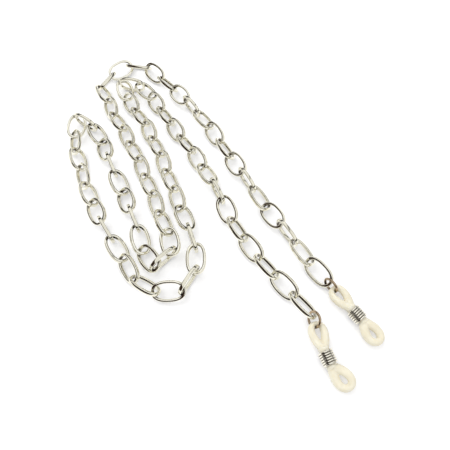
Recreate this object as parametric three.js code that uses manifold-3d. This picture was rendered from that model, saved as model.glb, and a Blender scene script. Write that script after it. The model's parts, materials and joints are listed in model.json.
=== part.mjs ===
// Eyeglass retainer strap: a flat-wire oval link chain with a small jump ring, a figure-eight
// silicone loop and a coil-spring sleeve at each end. It lies on a table in two long folds.
// Millimetres, +Z up. The origin is the middle of the strap's footprint on the table.
import * as THREE from "three";
import { mergeVertices } from "three/addons/utils/BufferGeometryUtils.js";
import Module from "manifold-3d";

const wasm = await Module();
wasm.setup();

// ---- chain -------------------------------------------------------------------------------
const LINK_COUNT = 75;
const LINK_INNER_LENGTH = 8.9;
const LINK_INNER_WIDTH = 4.8;
const WIRE_WIDTH = 0.95; // in the plane of the link
const WIRE_DEPTH = 1.2; // across the plane of the link
const OVAL_POWER = 2.4; // 2 is an ellipse; more is a fuller oval
const OVAL_SEGMENTS = 16;
const LINK_PITCH = 8.0; // joint to joint along a straight run
const SNUG_PITCH = 7.94; // from link SNUG_FROM on
const SNUG_FROM = 62;
const BEND_PITCH = 7.1; // joint to joint where the chain doubles back and goes slack
const TAUT_PITCH = 8.3; // joint to joint where the chain is drawn out
const PAIR_RUNS = [[18, 29], [31, 46], [48, 61]]; // these links are modelled in touching pairs
const PAIR_PULL = 0.55; // how far each link of a pair is pulled out, so the two bows touch
const FOLDED_PAIRS = [28, 37, 60]; // their bows touch anyway, at a sharp bend

// ---- ends --------------------------------------------------------------------------------
const RING_WIRE = 0.8;
const RING_RADIUS = 2.3; // to the middle of the wire
const RING_EASE = 0.85; // gap between the ring and the last link's bow
const LOOP_EASE = 0.3; // gap between that bow and the silicone
const SWING_ROOM = 0.5; // more room round the ring, for the loop to swing
const LOOP_THICKNESS = 2.4;
const EYE_HALF = { length: 8.45, width: 6.2, slit: 1.8, endBar: 1.9 };
const TEMPLE_HALF = { length: 7.9, width: 6.6, slit: 2.0, endBar: 2.2 };
const HALF_ROOT_WIDTH = 1.8; // of each half, where it meets the neck
const SLIT_START = 2.4; // from that root
const NECK_RADIUS = 1.35;
const NECK_HALF_LENGTH = 2.5; // between the two halves, under the sleeve
const NECK_ROOT = 0.8; // how far the neck runs on into each half
const SLEEVE_OUTER_RADIUS = 2.3;
const SLEEVE_WIRE = 0.62;
const SLEEVE_TURNS = 5.5;
const SLEEVE_GAP = 0.04; // between one turn and the next
const SLEEVE_STEPS_PER_TURN = 14;
// How each end lies, in degrees: where its eye half points, how the rest bends from that, and how
// far its ring leans over.
const RIGHT_LIE = { heading: -53, neckBend: 0, templeBend: -6, ringLean: 5 };
const LEFT_LIE = { heading: -77, neckBend: 7, templeBend: 20, ringLean: 30 };

// ---- lay ---------------------------------------------------------------------------------
// The chain's line on the table, from the right loop's ring to the left loop's ring.
const FOOTPRINT_MIDDLE = new THREE.Vector2(-0.300, 0.331);
const ROUTE = [
  [37.7, -32.0], [32.6, -25.3], [26.2, -15.2], [17.6, -1.6], [9.6, 12.6], [2.0, 27.0], [-7.6, 40.6],
  [-14.8, 49.4], [-20.4, 55.8], [-26.5, 61.6], [-34.8, 62.0], [-40.4, 56.4], [-43.6, 49.6],
  [-39.6, 42.2], [-36.3, 35.0], [-30.0, 24.4],
  [-23.1, 10.2], [-16.8, -5.2], [-12.0, -16.4], [-9.8, -24.8], [-18.4, -28.2], [-21.6, -15.4],
  [-28.0, -1.6], [-33.6, 10.2], [-41.0, 26.0], [-44.6, 30.6], [-51.2, 33.8], [-49.0, 20.6],
  [-44.2, 7.6], [-37.6, -6.8], [-28.6, -20.4], [-21.8, -31.0], [-14.0, -35.8], [-7.6, -36.0],
  [-2.6, -29.6], [-3.2, -20.0], [-9.4, -4.2], [-18.2, 19.0], [-25.2, 33.0], [-31.6, 42.4],
  [-34.6, 49.0], [-34.6, 52.0], [-27.4, 50.0], [-21.6, 43.2], [-12.6, 28.2], [-3.4, 14.2],
  [4.4, -1.0], [10.0, -14.2], [19.0, -27.0], [32.4, -42.6], [60.0, -78.0],
].map(([x, y]) => new THREE.Vector2(x, y).sub(FOOTPRINT_MIDDLE));
const WALK_STEP = 0.01;
const BEND_LINKS = [27, 28, 29, 37, 38, 50, 60, 61, 62];
const TAUT_LINKS = [13, 14, 17];
const UPRIGHT_LINKS = [3, 6, 11, 28, 31, 34, 37, 44, 49, 51, 61, 69];
const FLAT_LINKS = [27, 38, 50, 60, 62];
const LEANING = THREE.MathUtils.degToRad(45);
const LEANING_BY_UPRIGHT = THREE.MathUtils.degToRad(30);
const NEARLY_FLAT = THREE.MathUtils.degToRad(15);
const UPRIGHT = THREE.MathUtils.degToRad(90);

// ---- finishes ----------------------------------------------------------------------------
const PLATED = { color: 0xcfccc2, roughness: 0.18, metalness: 1.0 };
const SILICONE = { color: 0xf1ead6, roughness: 0.42, metalness: 0.0 };

const strap = new THREE.Group();

function toSolid(geometry) {
  const bare = geometry.index ? geometry.toNonIndexed() : geometry.clone();
  bare.deleteAttribute("normal");
  bare.deleteAttribute("uv");
  const merged = mergeVertices(bare, 1e-5);
  return new wasm.Manifold(new wasm.Mesh({
    numProp: 3,
    vertProperties: new Float32Array(merged.attributes.position.array),
    triVerts: new Uint32Array(merged.index.array),
  }));
}

function toGeometry(solid) {
  const mesh = solid.getMesh();
  const geometry = new THREE.BufferGeometry();
  geometry.setAttribute("position", new THREE.BufferAttribute(mesh.vertProperties, 3));
  geometry.setIndex(new THREE.BufferAttribute(mesh.triVerts, 1));
  return geometry;
}

function addMesh(parent, name, geometry, finish) {
  const mesh = new THREE.Mesh(geometry, new THREE.MeshStandardMaterial(finish));
  mesh.name = name;
  parent.add(mesh);
  return mesh;
}

// ---- one link ----------------------------------------------------------------------------
function ovalPoints(halfLength, halfWidth) {
  return Array.from({ length: OVAL_SEGMENTS }, (_, i) => {
    const turn = (2 * Math.PI * i) / OVAL_SEGMENTS;
    const c = Math.cos(turn);
    const s = Math.sin(turn);
    const grow = (Math.abs(c) ** OVAL_POWER + Math.abs(s) ** OVAL_POWER) ** (-1 / OVAL_POWER);
    return new THREE.Vector2(halfLength * c * grow, halfWidth * s * grow);
  });
}

function linkGeometry() {
  const halfLength = LINK_INNER_LENGTH / 2;
  const halfWidth = LINK_INNER_WIDTH / 2;
  const outline = new THREE.Shape(ovalPoints(halfLength + WIRE_WIDTH, halfWidth + WIRE_WIDTH));
  outline.holes.push(new THREE.Path(ovalPoints(halfLength, halfWidth)));
  const geometry = new THREE.ExtrudeGeometry(outline, { depth: WIRE_DEPTH, bevelEnabled: false });
  return geometry.translate(0, 0, -WIRE_DEPTH / 2);
}

// A link is upright, or leans to alternate sides: nearly flat at a sharp bend, 30 degrees
// beside an upright link, and 45 degrees elsewhere.
function linkRoll(number) {
  if (UPRIGHT_LINKS.includes(number)) return UPRIGHT;
  const byUpright = UPRIGHT_LINKS.includes(number - 1) || UPRIGHT_LINKS.includes(number + 1);
  const leaningBefore = number - UPRIGHT_LINKS.filter((upright) => upright < number).length;
  const side = leaningBefore % 2 === 0 ? 1 : -1;
  if (FLAT_LINKS.includes(number)) return side * NEARLY_FLAT;
  return side * (byUpright ? LEANING_BY_UPRIGHT : LEANING);
}

function restHeight(number) {
  const roll = Math.abs(linkRoll(number));
  const halfWidth = LINK_INNER_WIDTH / 2 + WIRE_WIDTH;
  return halfWidth * Math.sin(roll) + (WIRE_DEPTH / 2) * Math.cos(roll);
}

function linkPitch(number) {
  if (BEND_LINKS.includes(number)) return BEND_PITCH;
  if (TAUT_LINKS.includes(number)) return TAUT_PITCH;
  return number >= SNUG_FROM ? SNUG_PITCH : LINK_PITCH;
}

// Joint points: walk the route and set a joint down each time a whole pitch has gone by.
// A joint is as high as the taller of its two links lies.
function layJoints() {
  const joints = [ROUTE[0].clone()];
  for (let i = 1; i < ROUTE.length; i += 1) {
    const steps = Math.ceil(ROUTE[i].distanceTo(ROUTE[i - 1]) / WALK_STEP);
    for (let step = 1; step <= steps && joints.length <= LINK_COUNT; step += 1) {
      const here = ROUTE[i - 1].clone().lerp(ROUTE[i], step / steps);
      if (here.distanceTo(joints.at(-1)) >= linkPitch(joints.length)) joints.push(here);
    }
  }
  return joints.map((at, i) => new THREE.Vector3(
    at.x, at.y, Math.max(restHeight(Math.max(i, 1)), restHeight(Math.min(i + 1, LINK_COUNT))),
  ));
}

const joints = layJoints();

// Where a link lies: its middle is half way between its two joints, its length along them.
function linkMatrix(number, pull) {
  const from = joints[number - 1];
  const to = joints[number];
  const along = to.clone().sub(from).normalize();
  const heading = Math.atan2(along.y, along.x);
  const turn = new THREE.Euler(linkRoll(number), -Math.asin(along.z), heading, "ZYX");
  const middle = from.clone().add(to).multiplyScalar(0.5).addScaledVector(along, pull);
  return new THREE.Matrix4().compose(
    middle, new THREE.Quaternion().setFromEuler(turn), new THREE.Vector3(1, 1, 1),
  );
}

const twoDigits = (number) => String(number).padStart(2, "0");

function addSingleLink(number) {
  const mesh = addMesh(strap, `link_${twoDigits(number)}`, linkGeometry(), PLATED);
  mesh.applyMatrix4(linkMatrix(number, 0));
}

function addLinkPair(number) {
  const pull = FOLDED_PAIRS.includes(number) ? 0 : PAIR_PULL;
  const first = toSolid(linkGeometry().applyMatrix4(linkMatrix(number, -pull)));
  const second = toSolid(linkGeometry().applyMatrix4(linkMatrix(number + 1, pull)));
  const name = `links_${twoDigits(number)}_${twoDigits(number + 1)}`;
  addMesh(strap, name, toGeometry(first.add(second)), PLATED);
}

let next = 1;
while (next <= LINK_COUNT) {
  const paired = PAIR_RUNS.some(([first, last]) => next >= first && next < last);
  if (paired) addLinkPair(next);
  else addSingleLink(next);
  next += paired ? 2 : 1;
}

// ---- the two ends ------------------------------------------------------------------------
// An end's own frame: x runs out along the eye half from the chain's last joint, z is up.
const BOW_INNER = (LINK_INNER_LENGTH - LINK_PITCH) / 2; // last link's bow, past its joint
const RING_CENTRE = BOW_INNER - RING_EASE - RING_WIRE / 2 + RING_RADIUS;
const EYE_START = BOW_INNER + WIRE_WIDTH + LOOP_EASE;
const NECK_START = EYE_START + EYE_HALF.length;

function ringGeometry(tube, lie) {
  const tubeSides = 8;
  const ringSteps = 20;
  return new THREE.TorusGeometry(RING_RADIUS, tube, tubeSides, ringSteps)
    .rotateX(THREE.MathUtils.degToRad(90 - lie.ringLean)).translate(RING_CENTRE, 0, 0);
}

// From the neck's own frame, x along it from the eye half, into the end's frame.
const alongNeck = (geometry, lie) => geometry
  .rotateZ(THREE.MathUtils.degToRad(lie.neckBend)).translate(NECK_START, 0, 0);

// One half of the figure eight: a flat teardrop with a slit, its point at the neck (x = 0)
// and its round end at x = length.
function teardrop(half) {
  const r = half.width / 2;
  const round = half.length - r;
  const root = HALF_ROOT_WIDTH / 2;
  const flare = { x: round * 0.45, y: root + 0.2 }; // where the sides start to spread
  const shoulder = round * 0.6; // where they are at their full width
  const shape = new THREE.Shape();
  shape.moveTo(0, -root);
  shape.bezierCurveTo(flare.x, -flare.y, shoulder, -r, round, -r);
  shape.absarc(round, 0, r, -Math.PI / 2, Math.PI / 2, false);
  shape.bezierCurveTo(shoulder, r, flare.x, flare.y, 0, root);
  shape.closePath();
  const slitEnd = half.length - half.endBar - half.slit / 2;
  const slitWidest = SLIT_START + 1.6;
  const slit = new THREE.Path();
  slit.moveTo(SLIT_START, 0);
  slit.quadraticCurveTo(slitWidest, half.slit / 2, slitEnd, half.slit / 2);
  slit.absarc(slitEnd, 0, half.slit / 2, Math.PI / 2, -Math.PI / 2, true);
  slit.quadraticCurveTo(slitWidest, -half.slit / 2, SLIT_START, 0);
  shape.holes.push(slit);
  const geometry = new THREE.ExtrudeGeometry(
    shape, { depth: LOOP_THICKNESS, bevelEnabled: false, curveSegments: 7 },
  );
  return geometry.translate(0, 0, -LOOP_THICKNESS / 2);
}

function loopGeometry(lie, ringLift) {
  const eye = teardrop(EYE_HALF).rotateZ(Math.PI).translate(NECK_START, 0, 0);
  const temple = teardrop(TEMPLE_HALF).rotateZ(THREE.MathUtils.degToRad(lie.templeBend))
    .translate(2 * NECK_HALF_LENGTH, 0, 0);
  const neckLength = 2 * (NECK_HALF_LENGTH + NECK_ROOT);
  const neckSides = 12;
  const neck = new THREE.CylinderGeometry(NECK_RADIUS, NECK_RADIUS, neckLength, neckSides)
    .rotateZ(Math.PI / 2).translate(NECK_HALF_LENGTH, 0, 0);
  const ringRoom = toSolid(ringGeometry(RING_WIRE / 2 + SWING_ROOM, lie).translate(0, 0, ringLift));
  return toGeometry(toSolid(eye).add(toSolid(alongNeck(temple, lie)))
    .add(toSolid(alongNeck(neck, lie))).subtract(ringRoom));
}

class Helix extends THREE.Curve {
  getPoint(t, target = new THREE.Vector3()) {
    const radius = SLEEVE_OUTER_RADIUS - SLEEVE_WIRE / 2;
    const turn = 2 * Math.PI * SLEEVE_TURNS * t;
    const pitch = SLEEVE_WIRE + SLEEVE_GAP;
    const x = (t - 0.5) * SLEEVE_TURNS * pitch;
    return target.set(x, radius * Math.cos(turn), radius * Math.sin(turn));
  }
}

function sleeveGeometry(lie) {
  const section = new THREE.Shape();
  section.absarc(0, 0, SLEEVE_WIRE / 2, 0, 2 * Math.PI);
  const geometry = new THREE.ExtrudeGeometry(section, {
    extrudePath: new Helix(), steps: SLEEVE_TURNS * SLEEVE_STEPS_PER_TURN,
    curveSegments: 5, bevelEnabled: false,
  });
  return alongNeck(geometry.translate(NECK_HALF_LENGTH, 0, 0), lie);
}

function addEnd(side, joint, lie) {
  const end = new THREE.Group();
  end.position.set(joint.x, joint.y, SLEEVE_OUTER_RADIUS);
  end.rotation.z = THREE.MathUtils.degToRad(lie.heading);
  strap.add(end);
  const ringLift = joint.z - SLEEVE_OUTER_RADIUS;
  const ring = addMesh(end, `${side}_jump_ring`, ringGeometry(RING_WIRE / 2, lie), PLATED);
  ring.position.z = ringLift;
  addMesh(end, `${side}_silicone_loop`, loopGeometry(lie, ringLift), SILICONE);
  addMesh(end, `${side}_coil_sleeve`, sleeveGeometry(lie), PLATED);
}

addEnd("right", joints[0], RIGHT_LIE);
addEnd("left", joints[LINK_COUNT], LEFT_LIE);

export default strap;
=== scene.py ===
# %% [markdown]
# # An eyeglass retainer strap, piece by piece
# A long chain of plated oval links ends, on both sides, in a small jump ring, a soft silicone
# loop that grips the arm of the glasses, and a coil sleeve that pinches the loop in the middle.
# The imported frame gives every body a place. We load it first, and keep its box to compare later.

import json
import math

import bmesh
import bpy
from mathutils import Euler, Matrix, Vector

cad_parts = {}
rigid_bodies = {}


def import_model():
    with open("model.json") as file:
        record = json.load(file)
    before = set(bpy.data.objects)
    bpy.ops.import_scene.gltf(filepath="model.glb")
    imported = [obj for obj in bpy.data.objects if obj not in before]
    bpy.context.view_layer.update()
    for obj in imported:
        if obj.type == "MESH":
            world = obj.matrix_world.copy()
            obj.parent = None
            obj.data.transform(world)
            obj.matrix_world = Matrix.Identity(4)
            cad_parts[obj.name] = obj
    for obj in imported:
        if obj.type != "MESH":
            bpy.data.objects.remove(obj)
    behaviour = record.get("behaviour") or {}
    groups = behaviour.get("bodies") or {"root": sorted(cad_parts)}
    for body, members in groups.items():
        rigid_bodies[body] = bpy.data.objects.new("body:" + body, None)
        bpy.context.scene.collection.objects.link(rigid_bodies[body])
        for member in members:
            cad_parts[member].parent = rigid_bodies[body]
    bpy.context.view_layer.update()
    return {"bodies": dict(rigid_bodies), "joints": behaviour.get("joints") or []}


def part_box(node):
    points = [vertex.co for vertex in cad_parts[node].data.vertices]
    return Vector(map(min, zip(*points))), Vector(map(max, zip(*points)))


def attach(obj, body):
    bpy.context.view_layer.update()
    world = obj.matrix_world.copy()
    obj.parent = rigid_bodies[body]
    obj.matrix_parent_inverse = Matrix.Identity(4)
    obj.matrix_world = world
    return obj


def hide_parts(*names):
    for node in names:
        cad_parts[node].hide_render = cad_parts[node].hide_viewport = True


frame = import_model()
MM = 0.001

# %% [markdown]
# ## The camera
# A phone-like wide lens, close above the strap and tilted 62.5 degrees below the horizon. Such a
# near camera makes the silicone ends look larger than the far folds, so its distance matters as
# much as its angle. We make it first, because everything later is judged through it.

# %% Camera
camera = bpy.data.objects.new("camera", bpy.data.cameras.new("camera"))
camera.data.lens = 32
camera.data.sensor_width = 36
camera.data.clip_start = 0.005
camera.location = (6.53 * MM, -73.62 * MM, 119.7 * MM)
camera.rotation_euler = (math.radians(27.5), 0, 0)
bpy.context.scene.collection.objects.link(camera)
bpy.context.scene.camera = camera
print("camera height in mm", round(camera.location.z / MM, 1))

# %% [markdown]
# ## Where the chain lies
# The strap is thrown down in two long folds. One line on the table carries the joints between
# the links: we walk along it and set a joint down each time a whole pitch has gone by, shorter
# where the chain doubles back and is slack, longer where it is drawn out. The frame was laid out
# the same way, so its hinges tell us whether our joints are right.

# %% The chain's line on the table, in millimetres
LINK_COUNT = 75
LINK_PITCH, SNUG_PITCH, BEND_PITCH, TAUT_PITCH = 8.0, 7.94, 7.1, 8.3
FOOTPRINT_MIDDLE = Vector((-0.300, 0.331))
ROUTE = [Vector(point) - FOOTPRINT_MIDDLE for point in [
    (37.7, -32.0), (32.6, -25.3), (26.2, -15.2), (17.6, -1.6), (9.6, 12.6), (2.0, 27.0),
    (-7.6, 40.6), (-14.8, 49.4), (-20.4, 55.8), (-26.5, 61.6), (-34.8, 62.0), (-40.4, 56.4),
    (-43.6, 49.6), (-39.6, 42.2), (-36.3, 35.0), (-30.0, 24.4), (-23.1, 10.2), (-16.8, -5.2),
    (-12.0, -16.4), (-9.8, -24.8), (-18.4, -28.2), (-21.6, -15.4), (-28.0, -1.6), (-33.6, 10.2),
    (-41.0, 26.0), (-44.6, 30.6), (-51.2, 33.8), (-49.0, 20.6), (-44.2, 7.6), (-37.6, -6.8),
    (-28.6, -20.4), (-21.8, -31.0), (-14.0, -35.8), (-7.6, -36.0), (-2.6, -29.6), (-3.2, -20.0),
    (-9.4, -4.2), (-18.2, 19.0), (-25.2, 33.0), (-31.6, 42.4), (-34.6, 49.0), (-34.6, 52.0),
    (-27.4, 50.0), (-21.6, 43.2), (-12.6, 28.2), (-3.4, 14.2), (4.4, -1.0), (10.0, -14.2),
    (19.0, -27.0), (32.4, -42.6), (60.0, -78.0)]]
SNUG_FROM = 62
BEND_LINKS = {27, 28, 29, 37, 38, 50, 60, 61, 62}
TAUT_LINKS = {13, 14, 17}
UPRIGHT_LINKS = {3, 6, 11, 28, 31, 34, 37, 44, 49, 51, 61, 69}
FLAT_LINKS = {27, 38, 50, 60, 62}


def link_pitch(number):
    if number in BEND_LINKS:
        return BEND_PITCH
    if number in TAUT_LINKS:
        return TAUT_PITCH
    return SNUG_PITCH if number >= SNUG_FROM else LINK_PITCH


def walk_route(step=0.01):
    spots = [ROUTE[0].copy()]
    for start, end in zip(ROUTE, ROUTE[1:]):
        steps = math.ceil((end - start).length / step)
        for i in range(1, steps + 1):
            here = start.lerp(end, i / steps)
            if len(spots) <= LINK_COUNT and (here - spots[-1]).length >= link_pitch(len(spots)):
                spots.append(here)
    return spots


# %% [markdown]
# A link in a lying chain can't lie flat between two neighbours that can't either: each leans to
# the other side, and now and then one is caught standing on its edge. A joint is as high as the
# taller of its two links needs.

# %% How each link lies
LINK_HALF_WIDTH, LINK_HALF_DEPTH = 3.35, 0.6
FLAT_ROLL, BESIDE_UPRIGHT_ROLL, LEANING_ROLL = 15, 30, 45


def link_roll(number):
    if number in UPRIGHT_LINKS:
        return 90
    leaning_before = number - sum(upright < number for upright in UPRIGHT_LINKS)
    side = 1 if leaning_before % 2 == 0 else -1
    if number in FLAT_LINKS:
        return side * FLAT_ROLL
    beside_upright = {number - 1, number + 1} & UPRIGHT_LINKS
    return side * (BESIDE_UPRIGHT_ROLL if beside_upright else LEANING_ROLL)


def rest_height(number):
    roll = math.radians(abs(link_roll(number)))
    return LINK_HALF_WIDTH * math.sin(roll) + LINK_HALF_DEPTH * math.cos(roll)


spots = walk_route()
joints = [Vector((s.x, s.y, max(rest_height(max(i, 1)), rest_height(min(i + 1, LINK_COUNT)))))
          for i, s in enumerate(spots)]
hinges = [Vector(j["pos_m"]) / MM for j in frame["joints"] if j["name"].startswith("flex_")]
print("links", len(joints) - 1, "farthest frame hinge from a joint, mm",
      round(max(min((h - joint).length for joint in joints) for h in hinges), 3))


# %% Each link's place, from its two joints
def link_place(number):
    start, end = joints[number - 1], joints[number]
    along = (end - start).normalized()
    turn = Euler((math.radians(link_roll(number)), -math.asin(along.z),
                  math.atan2(along.y, along.x)), "XYZ")
    return Matrix.Translation((start + end) / 2) @ turn.to_matrix().to_4x4()


# %% [markdown]
# ## Finishing a piece
# Every piece is shaped in millimetres in a bmesh, then scaled to metres with its place in the
# mesh, so that its object stays at the origin. It rides on a body and stands for that body's
# plain node.

# %% A helper that hangs a finished shape on the frame
chain_bodies = {}
for body in frame["bodies"]:
    if body.startswith("link"):
        for number in body.split("_")[1:]:
            chain_bodies[int(number)] = body


def hang(name, shape, body, place=Matrix.Identity(4)):
    bmesh.ops.transform(shape, matrix=Matrix.Scale(MM, 4) @ place, verts=shape.verts)
    mesh = bpy.data.meshes.new(name)
    shape.to_mesh(mesh)
    mesh.shade_smooth()
    piece = bpy.data.objects.new(name, mesh)
    bpy.context.scene.collection.objects.link(piece)
    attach(piece, body)
    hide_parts(body)
    return piece


# %% [markdown]
# ## The link
# A link is a length of half-flat wire, bent into an oval and closed end to end, so it has flat
# sides and soft corners. The butt joint where it closes isn't drawn. A bmesh circle gives the
# oval: its points are pushed out to a fuller oval, an extrusion inwards makes the flat ring, a
# second one its depth, and a bevel on the four long edges rounds the wire. Each corner of the
# mesh keeps a mark saying how flat it lies, and the side walls are painted darker than the broad
# faces: painted shade that draws dark lines along the wire's edges.

# %% One link
WIRE_WIDTH, WIRE_DEPTH, WIRE_CORNER = 0.95, 1.22, 0.3
INNER_HALF_LENGTH, INNER_HALF_WIDTH = 4.45, 2.4
UNSHADED_FROM = 0.55
OVAL_POWER = 2.4
OVAL_STEPS = 48


def oval_out(vert, half_length, half_width):
    c, s = vert.co.x, vert.co.y
    grow = (abs(c) ** OVAL_POWER + abs(s) ** OVAL_POWER) ** (-1 / OVAL_POWER)
    vert.co.x, vert.co.y = half_length * c * grow, half_width * s * grow


def make_link():
    link = bmesh.new()
    outer = bmesh.ops.create_circle(link, segments=OVAL_STEPS, radius=1)["verts"]
    inwards = bmesh.ops.extrude_edge_only(link, edges=link.edges[:])["geom"]
    inner = [g for g in inwards if isinstance(g, bmesh.types.BMVert)]
    for vert in inner:
        oval_out(vert, INNER_HALF_LENGTH, INNER_HALF_WIDTH)
    for vert in outer:
        oval_out(vert, INNER_HALF_LENGTH + WIRE_WIDTH, INNER_HALF_WIDTH + WIRE_WIDTH)
    deep = bmesh.ops.extrude_face_region(link, geom=link.faces[:])["geom"]
    top = [g for g in deep if isinstance(g, bmesh.types.BMVert)]
    bmesh.ops.translate(link, verts=top, vec=(0, 0, WIRE_DEPTH))
    bmesh.ops.translate(link, verts=link.verts, vec=(0, 0, -WIRE_DEPTH / 2))
    bmesh.ops.recalc_face_normals(link, faces=link.faces)
    long_edges = [e for e in link.edges if abs(e.calc_face_angle() - math.pi / 2) < 0.1]
    bmesh.ops.bevel(link, geom=long_edges, offset=WIRE_CORNER, segments=3, profile=0.5,
                    affect="EDGES", material=-1)
    # the mask for painted shade: 1 on the broad faces, falling to 0 down the side walls, which the
    # plate paints darker
    unshaded = link.verts.layers.float.new("unshaded")
    for vert in link.verts:
        height = abs(vert.co.z) / (WIRE_DEPTH / 2)
        vert[unshaded] = min(max((height - UNSHADED_FROM) / (1 - UNSHADED_FROM), 0), 1)
    return link


link = make_link()
print("link faces", len(link.faces), "closed", all(e.is_manifold for e in link.edges))

# %% Hang the 75 links
chain = []
for number in range(1, LINK_COUNT + 1):
    shape = link.copy()
    chain.append(hang(f"chain_link_{number:02d}", shape, chain_bodies[number],
                      link_place(number)))
print("links hung", len(chain))

# %% [markdown]
# ## The two ends
# Each end has its own small frame: the chain's last joint is its origin, x runs out along the
# loop and z is up, at the height of the sleeve's middle. Both ends are made from the same
# measures; only the way it lies differs: where the eye half points, how the neck and the temple
# half bend from that, how far the ring leans over, and how the temple half has rolled.

# %% The ends' measures
END_HEIGHT = 2.3
BOW_INNER = INNER_HALF_LENGTH - LINK_PITCH / 2
RING_WIRE, RING_RADIUS, RING_EASE = 0.8, 2.3, 0.85
RING_MIDDLE = BOW_INNER - RING_EASE - RING_WIRE / 2 + RING_RADIUS
LOOP_EASE = 0.3
EYE_START = BOW_INNER + WIRE_WIDTH + LOOP_EASE
EYE_LENGTH, TEMPLE_LENGTH = 8.45, 7.9
NECK_START, NECK_HALF_LENGTH = EYE_START + EYE_LENGTH, 2.5
ENDS = {"right": {"joint": joints[0], "heading": -53, "neck": 0, "temple": -6, "lean": 5,
                  "roll": 0},
        "left": {"joint": joints[-1], "heading": -77, "neck": 7, "temple": 20, "lean": 30,
                 "roll": 18}}


def turned(degrees, axis="Z"):
    return Matrix.Rotation(math.radians(degrees), 4, axis)


def end_place(end):
    return (Matrix.Translation((end["joint"].x, end["joint"].y, END_HEIGHT))
            @ turned(end["heading"]))


def neck_place(end):
    """Where the neck starts, x along it, in the end's own frame."""
    return Matrix.Translation((NECK_START, 0, 0)) @ turned(end["neck"])


for side, end in ENDS.items():
    lo, hi = (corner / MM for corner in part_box(side + "_jump_ring"))
    print(side, "ring middle off the frame's, mm",
          round((end_place(end) @ Vector((RING_MIDDLE, 0, end["joint"].z - END_HEIGHT))
                 - (lo + hi) / 2).length, 3))

# %% [markdown]
# ## The jump rings
# A jump ring is round wire bent into a circle, its two cut ends pressed together. Spinning a
# small circle nearly all the way round and capping it leaves just that hairline cut.

# %% Jump rings
RING_CUT = math.radians(2)
CUT_TURN = 150


def make_ring():
    ring = bmesh.new()
    section = bmesh.ops.create_circle(ring, segments=14, radius=RING_WIRE / 2, cap_ends=True)
    bmesh.ops.translate(ring, verts=section["verts"], vec=(RING_RADIUS, 0, 0))
    bmesh.ops.spin(ring, geom=ring.faces[:], cent=(0, 0, 0), axis=(0, -1, 0), steps=56,
                   angle=2 * math.pi - RING_CUT, use_duplicate=False)
    bmesh.ops.recalc_face_normals(ring, faces=ring.faces)
    return ring


# a circle lies in the xy plane, so the spin about y makes the ring stand in the xz plane
rings = []
for side, end in ENDS.items():
    stand = (end_place(end) @ Matrix.Translation((RING_MIDDLE, 0, end["joint"].z - END_HEIGHT))
             @ turned(-end["lean"], "X") @ turned(CUT_TURN, "Y"))
    rings.append(hang(side + "_ring", make_ring(), side + "_jump_ring", stand))
print("rings", [len(ring.data.polygons) for ring in rings])

# %% [markdown]
# ## The coil sleeves
# Five and a half close turns of spring wire. A spin that also steps along its axis winds the
# helix in one go, and its cut ends are capped. Only the crests of the turns are left bright: the
# rest of the wire is painted nearly black, as painted shade in the gaps between the turns.

# %% Coil sleeves
SLEEVE_RADIUS, SLEEVE_WIRE, SLEEVE_TURNS, SLEEVE_PITCH = 2.3, 0.6, 5.5, 0.66


def wind_sleeve(steps_per_turn=40):
    coil = bmesh.new()
    section = bmesh.ops.create_circle(coil, segments=12, radius=SLEEVE_WIRE / 2, cap_ends=True)
    bmesh.ops.translate(coil, verts=section["verts"],
                        vec=(-SLEEVE_TURNS * SLEEVE_PITCH / 2, SLEEVE_RADIUS - SLEEVE_WIRE / 2, 0))
    bmesh.ops.spin(coil, geom=coil.faces[:], cent=(0, 0, 0), axis=(1, 0, 0),
                   dvec=(SLEEVE_PITCH / steps_per_turn, 0, 0),
                   steps=round(SLEEVE_TURNS * steps_per_turn), angle=2 * math.pi * SLEEVE_TURNS,
                   use_duplicate=False)
    bmesh.ops.recalc_face_normals(coil, faces=coil.faces)
    # the mask for painted shade: 1 on the crests, 0 down the flanks that go into the gaps between
    # turns
    unshaded = coil.verts.layers.float.new("unshaded")
    for vert in coil.verts:
        out = math.hypot(vert.co.y, vert.co.z) - SLEEVE_RADIUS + SLEEVE_WIRE / 2
        vert[unshaded] = min(max(out / (0.6 * SLEEVE_WIRE / 2), 0), 1)
    return coil


sleeves = [hang(side + "_sleeve", wind_sleeve(), side + "_coil_sleeve",
                end_place(end) @ neck_place(end) @ Matrix.Translation((NECK_HALF_LENGTH, 0, 0)))
           for side, end in ENDS.items()]
for side, sleeve in zip(ENDS, sleeves):
    lo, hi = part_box(side + "_coil_sleeve")
    print(side, "sleeve box mm", [round(c / MM, 2) for c in hi - lo],
          "shape", [round(c / MM, 2) for c in sleeve.dimensions])

# %% [markdown]
# ## The silicone loops
# The loop is moulded soft silicone: two rounded teardrop eyes joined by a neck. Think of it as a
# soft cord that goes out along one side, round the end, and back. We sweep a round section along
# that line, add the neck, melt them together with a voxel remesh, and let a few smoothing passes
# take off every corner, as a mould would. The jump ring has pressed a groove into the eye's end.

# %% The line of one eye, from its root at the neck
LIMB_TALL = 1.2
DENT_HALF_LENGTH = 0.9


def eye_line(length, half_width, limb_half, end_half, groove, count=48):
    """(point on the middle of the limb, half its width, half its height), out and back again."""
    line = []
    for i in range(count + 1):
        turn = 2 * math.pi * i / count
        out = (1 - math.cos(turn)) / 2
        side = math.sin(turn) * math.sin(turn / 2) / 0.77
        half = limb_half + (end_half - limb_half) * out ** 2
        across = (half_width - limb_half) * side
        dent = groove * math.exp(-(across / DENT_HALF_LENGTH) ** 2) if out > 0.5 else 0
        line.append((Vector(((length - end_half) * out, across, 0)), half - dent,
                     LIMB_TALL - 2 * dent))
    return line


# length, half width, half the limb at the root, half of it at the end, depth of the groove
EYE_SHAPE = (EYE_LENGTH, 3.15, 1.3, 0.92, 0.25)
TEMPLE_SHAPE = (TEMPLE_LENGTH, 3.3, 1.4, 1.1, 0)
for shape in (EYE_SHAPE, TEMPLE_SHAPE):
    print("widest", round(2 * max(point.y + half for point, half, _ in eye_line(*shape)), 2))


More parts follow.
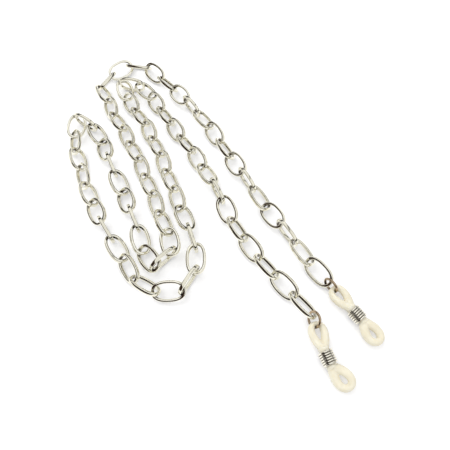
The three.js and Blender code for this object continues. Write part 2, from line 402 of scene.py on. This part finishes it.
# %% Sweep the limb and melt the loop together
def sweep(shape, line):
    rings_along = []
    for i, (point, half, tall) in enumerate(line):
        ahead = line[min(i + 1, len(line) - 1)][0] - line[max(i - 1, 0)][0]
        turn = Vector((ahead.x, ahead.y, 0)).to_track_quat("Z", "Y").to_matrix().to_4x4()
        section = bmesh.ops.create_circle(shape, segments=16, radius=half,
                                          matrix=Matrix.Translation(point) @ turn)["verts"]
        for vert in section:
            vert.co.z *= tall / half
        rings_along.append(list({e for v in section for e in v.link_edges}))
    for near, far in zip(rings_along, rings_along[1:]):
        bmesh.ops.bridge_loops(shape, edges=near + far)
    for end_ring in (rings_along[0], rings_along[-1]):
        bmesh.ops.contextual_create(shape, geom=end_ring)


NECK_RADIUS, NECK_OVERLAP = 1.6, 0.5


def make_loop(end):
    loop = bmesh.new()
    neck = neck_place(end)
    eye_root = Matrix.Translation((NECK_START, 0, 0)) @ turned(180)
    temple_root = (neck @ Matrix.Translation((2 * NECK_HALF_LENGTH, 0, 0))
                   @ turned(end["temple"]) @ turned(end["roll"], "X"))
    for place, shape in ((eye_root, EYE_SHAPE), (temple_root, TEMPLE_SHAPE)):
        sweep(loop, [(place @ point, half, tall) for point, half, tall in eye_line(*shape)])
    bmesh.ops.create_cone(loop, cap_ends=True, segments=24, radius1=NECK_RADIUS,
                          radius2=NECK_RADIUS, depth=2 * (NECK_HALF_LENGTH + NECK_OVERLAP),
                          matrix=neck @ Matrix.Translation((NECK_HALF_LENGTH, 0, 0))
                          @ turned(90, "Y"))
    bmesh.ops.recalc_face_normals(loop, faces=loop.faces)
    return loop


def melt(piece, voxel, passes):
    remesh = piece.modifiers.new("melt", "REMESH")
    remesh.mode, remesh.voxel_size = "VOXEL", voxel * MM
    remesh.use_smooth_shade = True
    smooth = piece.modifiers.new("mould", "SMOOTH")
    smooth.factor, smooth.iterations = 0.5, passes
    evaluated = piece.evaluated_get(bpy.context.evaluated_depsgraph_get())
    melted = bpy.data.meshes.new_from_object(evaluated)
    piece.modifiers.clear()
    piece.data = melted


loops = []
for side, end in ENDS.items():
    loop = hang(side + "_loop", make_loop(end), side + "_silicone_loop",
                end_place(end))
    melt(loop, voxel=0.16, passes=8)
    loops.append(loop)
    print(side, "loop faces", len(loop.data.polygons))

# %% [markdown]
# ## Finishes
# The plate is a bright warm silver. Real plating is never one value: it is cloudy and a little
# duller in places. Shade is painted on top: the nooks between the links, found with an occlusion
# node, are painted dark brown as shade, and the parts marked as shaded are painted darker than
# the broad faces and crests. Each of these is one colour that multiplies the others.

# %% Plate
def multiply(material, one, other):
    mix = material.node_tree.nodes.new("ShaderNodeMix")
    mix.data_type, mix.blend_type = "RGBA", "MULTIPLY"
    mix.inputs[0].default_value = 1
    material.node_tree.links.new(one, mix.inputs[6])
    material.node_tree.links.new(other, mix.inputs[7])
    return mix.outputs[2]


def plate(name, colour, roughness, wall_shade=1.0, shade_range=(0.35, 0.85)):
    finish = bpy.data.materials.new(name)
    finish.use_nodes = True
    nodes, wires = finish.node_tree.nodes, finish.node_tree.links
    shader = nodes["Principled BSDF"]
    shader.inputs["Metallic"].default_value = 1
    place = nodes.new("ShaderNodeTexCoord")
    cloud = nodes.new("ShaderNodeTexNoise")
    cloud.inputs["Scale"].default_value = 260
    cloud.inputs["Detail"].default_value = 4
    wires.new(place.outputs["Object"], cloud.inputs["Vector"])
    tint = nodes.new("ShaderNodeValToRGB")
    tint.color_ramp.elements[0].position, tint.color_ramp.elements[1].position = 0.35, 0.65
    tint.color_ramp.elements[0].color = (*[c * 0.86 for c in colour], 1)
    tint.color_ramp.elements[1].color = (*colour, 1)
    wires.new(cloud.outputs["Fac"], tint.inputs["Fac"])
    # painted shade: an occlusion node darkens the base colour to dark brown where close neighbours
    # stand, in the nooks between parts
    occlusion_shade = nodes.new("ShaderNodeAmbientOcclusion")
    occlusion_shade.inputs["Distance"].default_value = 1.3 * MM
    occlusion_shade.samples = 8
    painted_shade = nodes.new("ShaderNodeValToRGB")
    painted_shade.color_ramp.elements[0].position, painted_shade.color_ramp.elements[1].position = shade_range
    painted_shade.color_ramp.elements[0].color = (0.05, 0.03, 0.018, 1)
    painted_shade.color_ramp.elements[1].color = (1, 1, 1, 1)
    wires.new(occlusion_shade.outputs["AO"], painted_shade.inputs["Fac"])
    # painted shade: where the mask is low, the colour is tinted darker and browner by the wall
    # value
    unshaded = nodes.new("ShaderNodeAttribute")
    unshaded.attribute_name = "unshaded"
    wall_shading = nodes.new("ShaderNodeValToRGB")
    wall_shading.color_ramp.elements[0].color = (wall_shade, wall_shade ** 1.08, wall_shade ** 1.35, 1)
    wall_shading.color_ramp.elements[1].color = (1, 1, 1, 1)
    wires.new(unshaded.outputs["Fac"], wall_shading.inputs["Fac"])
    plated = multiply(finish, tint.outputs["Color"], painted_shade.outputs["Color"])
    wires.new(multiply(finish, plated, wall_shading.outputs["Color"]), shader.inputs["Base Color"])
    dull = nodes.new("ShaderNodeMapRange")
    dull.inputs["To Min"].default_value = roughness * 0.7
    dull.inputs["To Max"].default_value = roughness * 1.5
    wires.new(cloud.outputs["Fac"], dull.inputs["Value"])
    wires.new(dull.outputs["Result"], shader.inputs["Roughness"])
    return finish


def dress(pieces, finish):
    for piece in pieces:
        piece.data.materials.clear()
        piece.data.materials.append(finish)


# the chain's side walls are painted darker (0.88) as shade, besides the painted shade in the nooks
dress(chain, plate("chain_plate", (0.98, 0.955, 0.83), 0.04, 0.88, shade_range=(0.5, 0.88)))
dress(rings, plate("ring_plate", (0.52, 0.40, 0.27), 0.08))
# the sleeve's flanks are painted nearly black (0.05) as the shade in the gaps between turns
dress(sleeves, plate("sleeve_plate", (0.98, 0.94, 0.82), 0.05, 0.05))

# %% [markdown]
# The silicone is milky and slightly see-through: light goes into it and comes out a little
# warmer. It has a soft moulded sheen, a faint cloudiness inside and a very fine grain.

# %% Silicone
silicone = bpy.data.materials.new("silicone")
silicone.use_nodes = True
nodes, wires = silicone.node_tree.nodes, silicone.node_tree.links
shader = nodes["Principled BSDF"]
shader.inputs["Subsurface Weight"].default_value = 1
shader.inputs["Subsurface Radius"].default_value = (0.9, 0.9, 0.9)
shader.inputs["IOR"].default_value = 1.41
shader.inputs["Subsurface Scale"].default_value = 0.9 * MM
place = nodes.new("ShaderNodeTexCoord")
milk = nodes.new("ShaderNodeTexNoise")
milk.inputs["Scale"].default_value = 330
milk.inputs["Detail"].default_value = 3
wires.new(place.outputs["Object"], milk.inputs["Vector"])
cream = nodes.new("ShaderNodeValToRGB")
cream.color_ramp.elements[0].position, cream.color_ramp.elements[1].position = 0.35, 0.65
cream.color_ramp.elements[0].color = (0.86, 0.805, 0.65, 1)
cream.color_ramp.elements[1].color = (0.92, 0.87, 0.73, 1)
wires.new(milk.outputs["Fac"], cream.inputs["Fac"])
wires.new(cream.outputs["Color"], shader.inputs["Base Color"])
sheen = nodes.new("ShaderNodeMapRange")
sheen.inputs["To Min"].default_value = 0.22
sheen.inputs["To Max"].default_value = 0.38
wires.new(milk.outputs["Fac"], sheen.inputs["Value"])
wires.new(sheen.outputs["Result"], shader.inputs["Roughness"])
grain = nodes.new("ShaderNodeTexNoise")
grain.inputs["Scale"].default_value = 2600
wires.new(place.outputs["Object"], grain.inputs["Vector"])
skin = nodes.new("ShaderNodeBump")
skin.inputs["Strength"].default_value = 0.12
skin.inputs["Distance"].default_value = 0.05 * MM
wires.new(grain.outputs["Fac"], skin.inputs["Height"])
wires.new(skin.outputs["Normal"], shader.inputs["Normal"])
dress(loops, silicone)

# %% [markdown]
# ## Floor and light
# A plain white floor that keeps the strap's soft shadow, a white surround, one broad soft lamp
# from the back left and a weaker one from the front right.

# %% Which rays see the background itself
FLOOR_LIFT, SURROUND_LIGHT = 0.34, 0.72


def background_rays(tree):
    """1 for rays that show the background, 0 for those that only carry light to the strap."""
    rays = tree.nodes.new("ShaderNodeLightPath")
    total = rays.outputs["Is Camera Ray"]
    for kind in ("Is Glossy Ray", "Is Transmission Ray"):
        seen = tree.nodes.new("ShaderNodeMath")
        seen.operation = "ADD"
        seen.use_clamp = True
        tree.links.new(total, seen.inputs[0])
        tree.links.new(rays.outputs[kind], seen.inputs[1])
        total = seen.outputs[0]
    return total


# %% Floor
bpy.ops.mesh.primitive_plane_add(size=6, location=(0, 0, 0))
floor = bpy.context.object
floor.name = "floor"
paper = bpy.data.materials.new("floor_paper")
paper.use_nodes = True
nodes, wires = paper.node_tree.nodes, paper.node_tree.links
nodes.clear()
diffuse = nodes.new("ShaderNodeBsdfDiffuse")
diffuse.inputs["Color"].default_value = (0.80, 0.80, 0.81, 1)
glow = nodes.new("ShaderNodeEmission")
lift = nodes.new("ShaderNodeMath")
lift.operation = "MULTIPLY"
lift.inputs[1].default_value = FLOOR_LIFT
wires.new(background_rays(paper.node_tree), lift.inputs[0])
wires.new(lift.outputs[0], glow.inputs["Strength"])
both = nodes.new("ShaderNodeAddShader")
wires.new(diffuse.outputs[0], both.inputs[0])
wires.new(glow.outputs[0], both.inputs[1])
out = nodes.new("ShaderNodeOutputMaterial")
wires.new(both.outputs[0], out.inputs["Surface"])
floor.data.materials.append(paper)

# %% World and lamps
world = bpy.data.worlds.new("surround")
bpy.context.scene.world = world
world.use_nodes = True
nodes, wires = world.node_tree.nodes, world.node_tree.links
back = nodes["Background"]
level = nodes.new("ShaderNodeMapRange")
level.inputs["To Min"].default_value = SURROUND_LIGHT
level.inputs["To Max"].default_value = 1
wires.new(background_rays(world.node_tree), level.inputs["Value"])
wires.new(level.outputs["Result"], back.inputs["Strength"])
back.inputs["Color"].default_value = (1, 1, 1, 1)


def lamp(name, place, power, size=0.8):
    light = bpy.data.lights.new(name, "AREA")
    light.size, light.energy = size, power
    holder = bpy.data.objects.new(name, light)
    holder.location = place
    holder.rotation_euler = (-Vector(place)).to_track_quat("-Z", "Y").to_euler()
    holder.visible_glossy = False
    bpy.context.scene.collection.objects.link(holder)


lamp("key_lamp", (-0.40, 0.35, 0.75), 3.7)
lamp("fill_lamp", (0.5, -0.3, 0.7), 0.8)

# %% [markdown]
# Polish shows only what stands round it, and in an all-white room it would look white. So dark
# cards stand round the strap, low down and taller on the near left, with three brown ones higher
# up on that side. Only reflections see them. They draw the dark lines along the wire.

# %% Dark cards

def card(name, direction, distance, width, height, colour):
    bpy.ops.mesh.primitive_plane_add(size=1)
    board = bpy.context.object
    board.name = name
    direction = Vector(direction).normalized()
    board.location = direction * distance
    board.rotation_euler = direction.to_track_quat("Z", "Y").to_euler()
    board.scale = (width, height, 1)
    board.visible_camera = board.visible_diffuse = board.visible_shadow = False
    board.visible_transmission = False
    matt = bpy.data.materials.new(name)
    matt.use_nodes = True
    matt.node_tree.nodes["Principled BSDF"].inputs["Base Color"].default_value = (*colour, 1)
    matt.node_tree.nodes["Principled BSDF"].inputs["Roughness"].default_value = 1
    board.data.materials.append(matt)


DARK = (0.010, 0.007, 0.005)
BROWN = (0.035, 0.014, 0.006)
CARD_STEP, CARD_RISE = 15, math.radians(22)
TALL_FROM, TALL_TO = 180, 290
for name, direction in (("front_card", (-0.67, -0.42, 0.61)),
                        ("front_card_near", (-0.44, -0.92, 0.61)),
                        ("front_card_far", (-0.90, 0.08, 0.61))):
    card(name, direction, 0.4, 0.26, 0.24, BROWN)
for k in range(360 // CARD_STEP):
    heading = CARD_STEP * (k + 0.5)
    level_way = Vector((math.cos(math.radians(heading)), math.sin(math.radians(heading)), 0))
    direction = level_way * math.cos(CARD_RISE) + Vector((0, 0, math.sin(CARD_RISE)))
    tall = 0.30 if TALL_FROM < heading < TALL_TO else 0.15
    card(f"ring_card_{k:02d}", direction, 0.5, 0.15, tall, DARK)
card("top_card", (0.25, 0.45, 0.86), 0.5, 0.05, 0.3, DARK)
bpy.context.scene.view_settings.view_transform = "Standard"
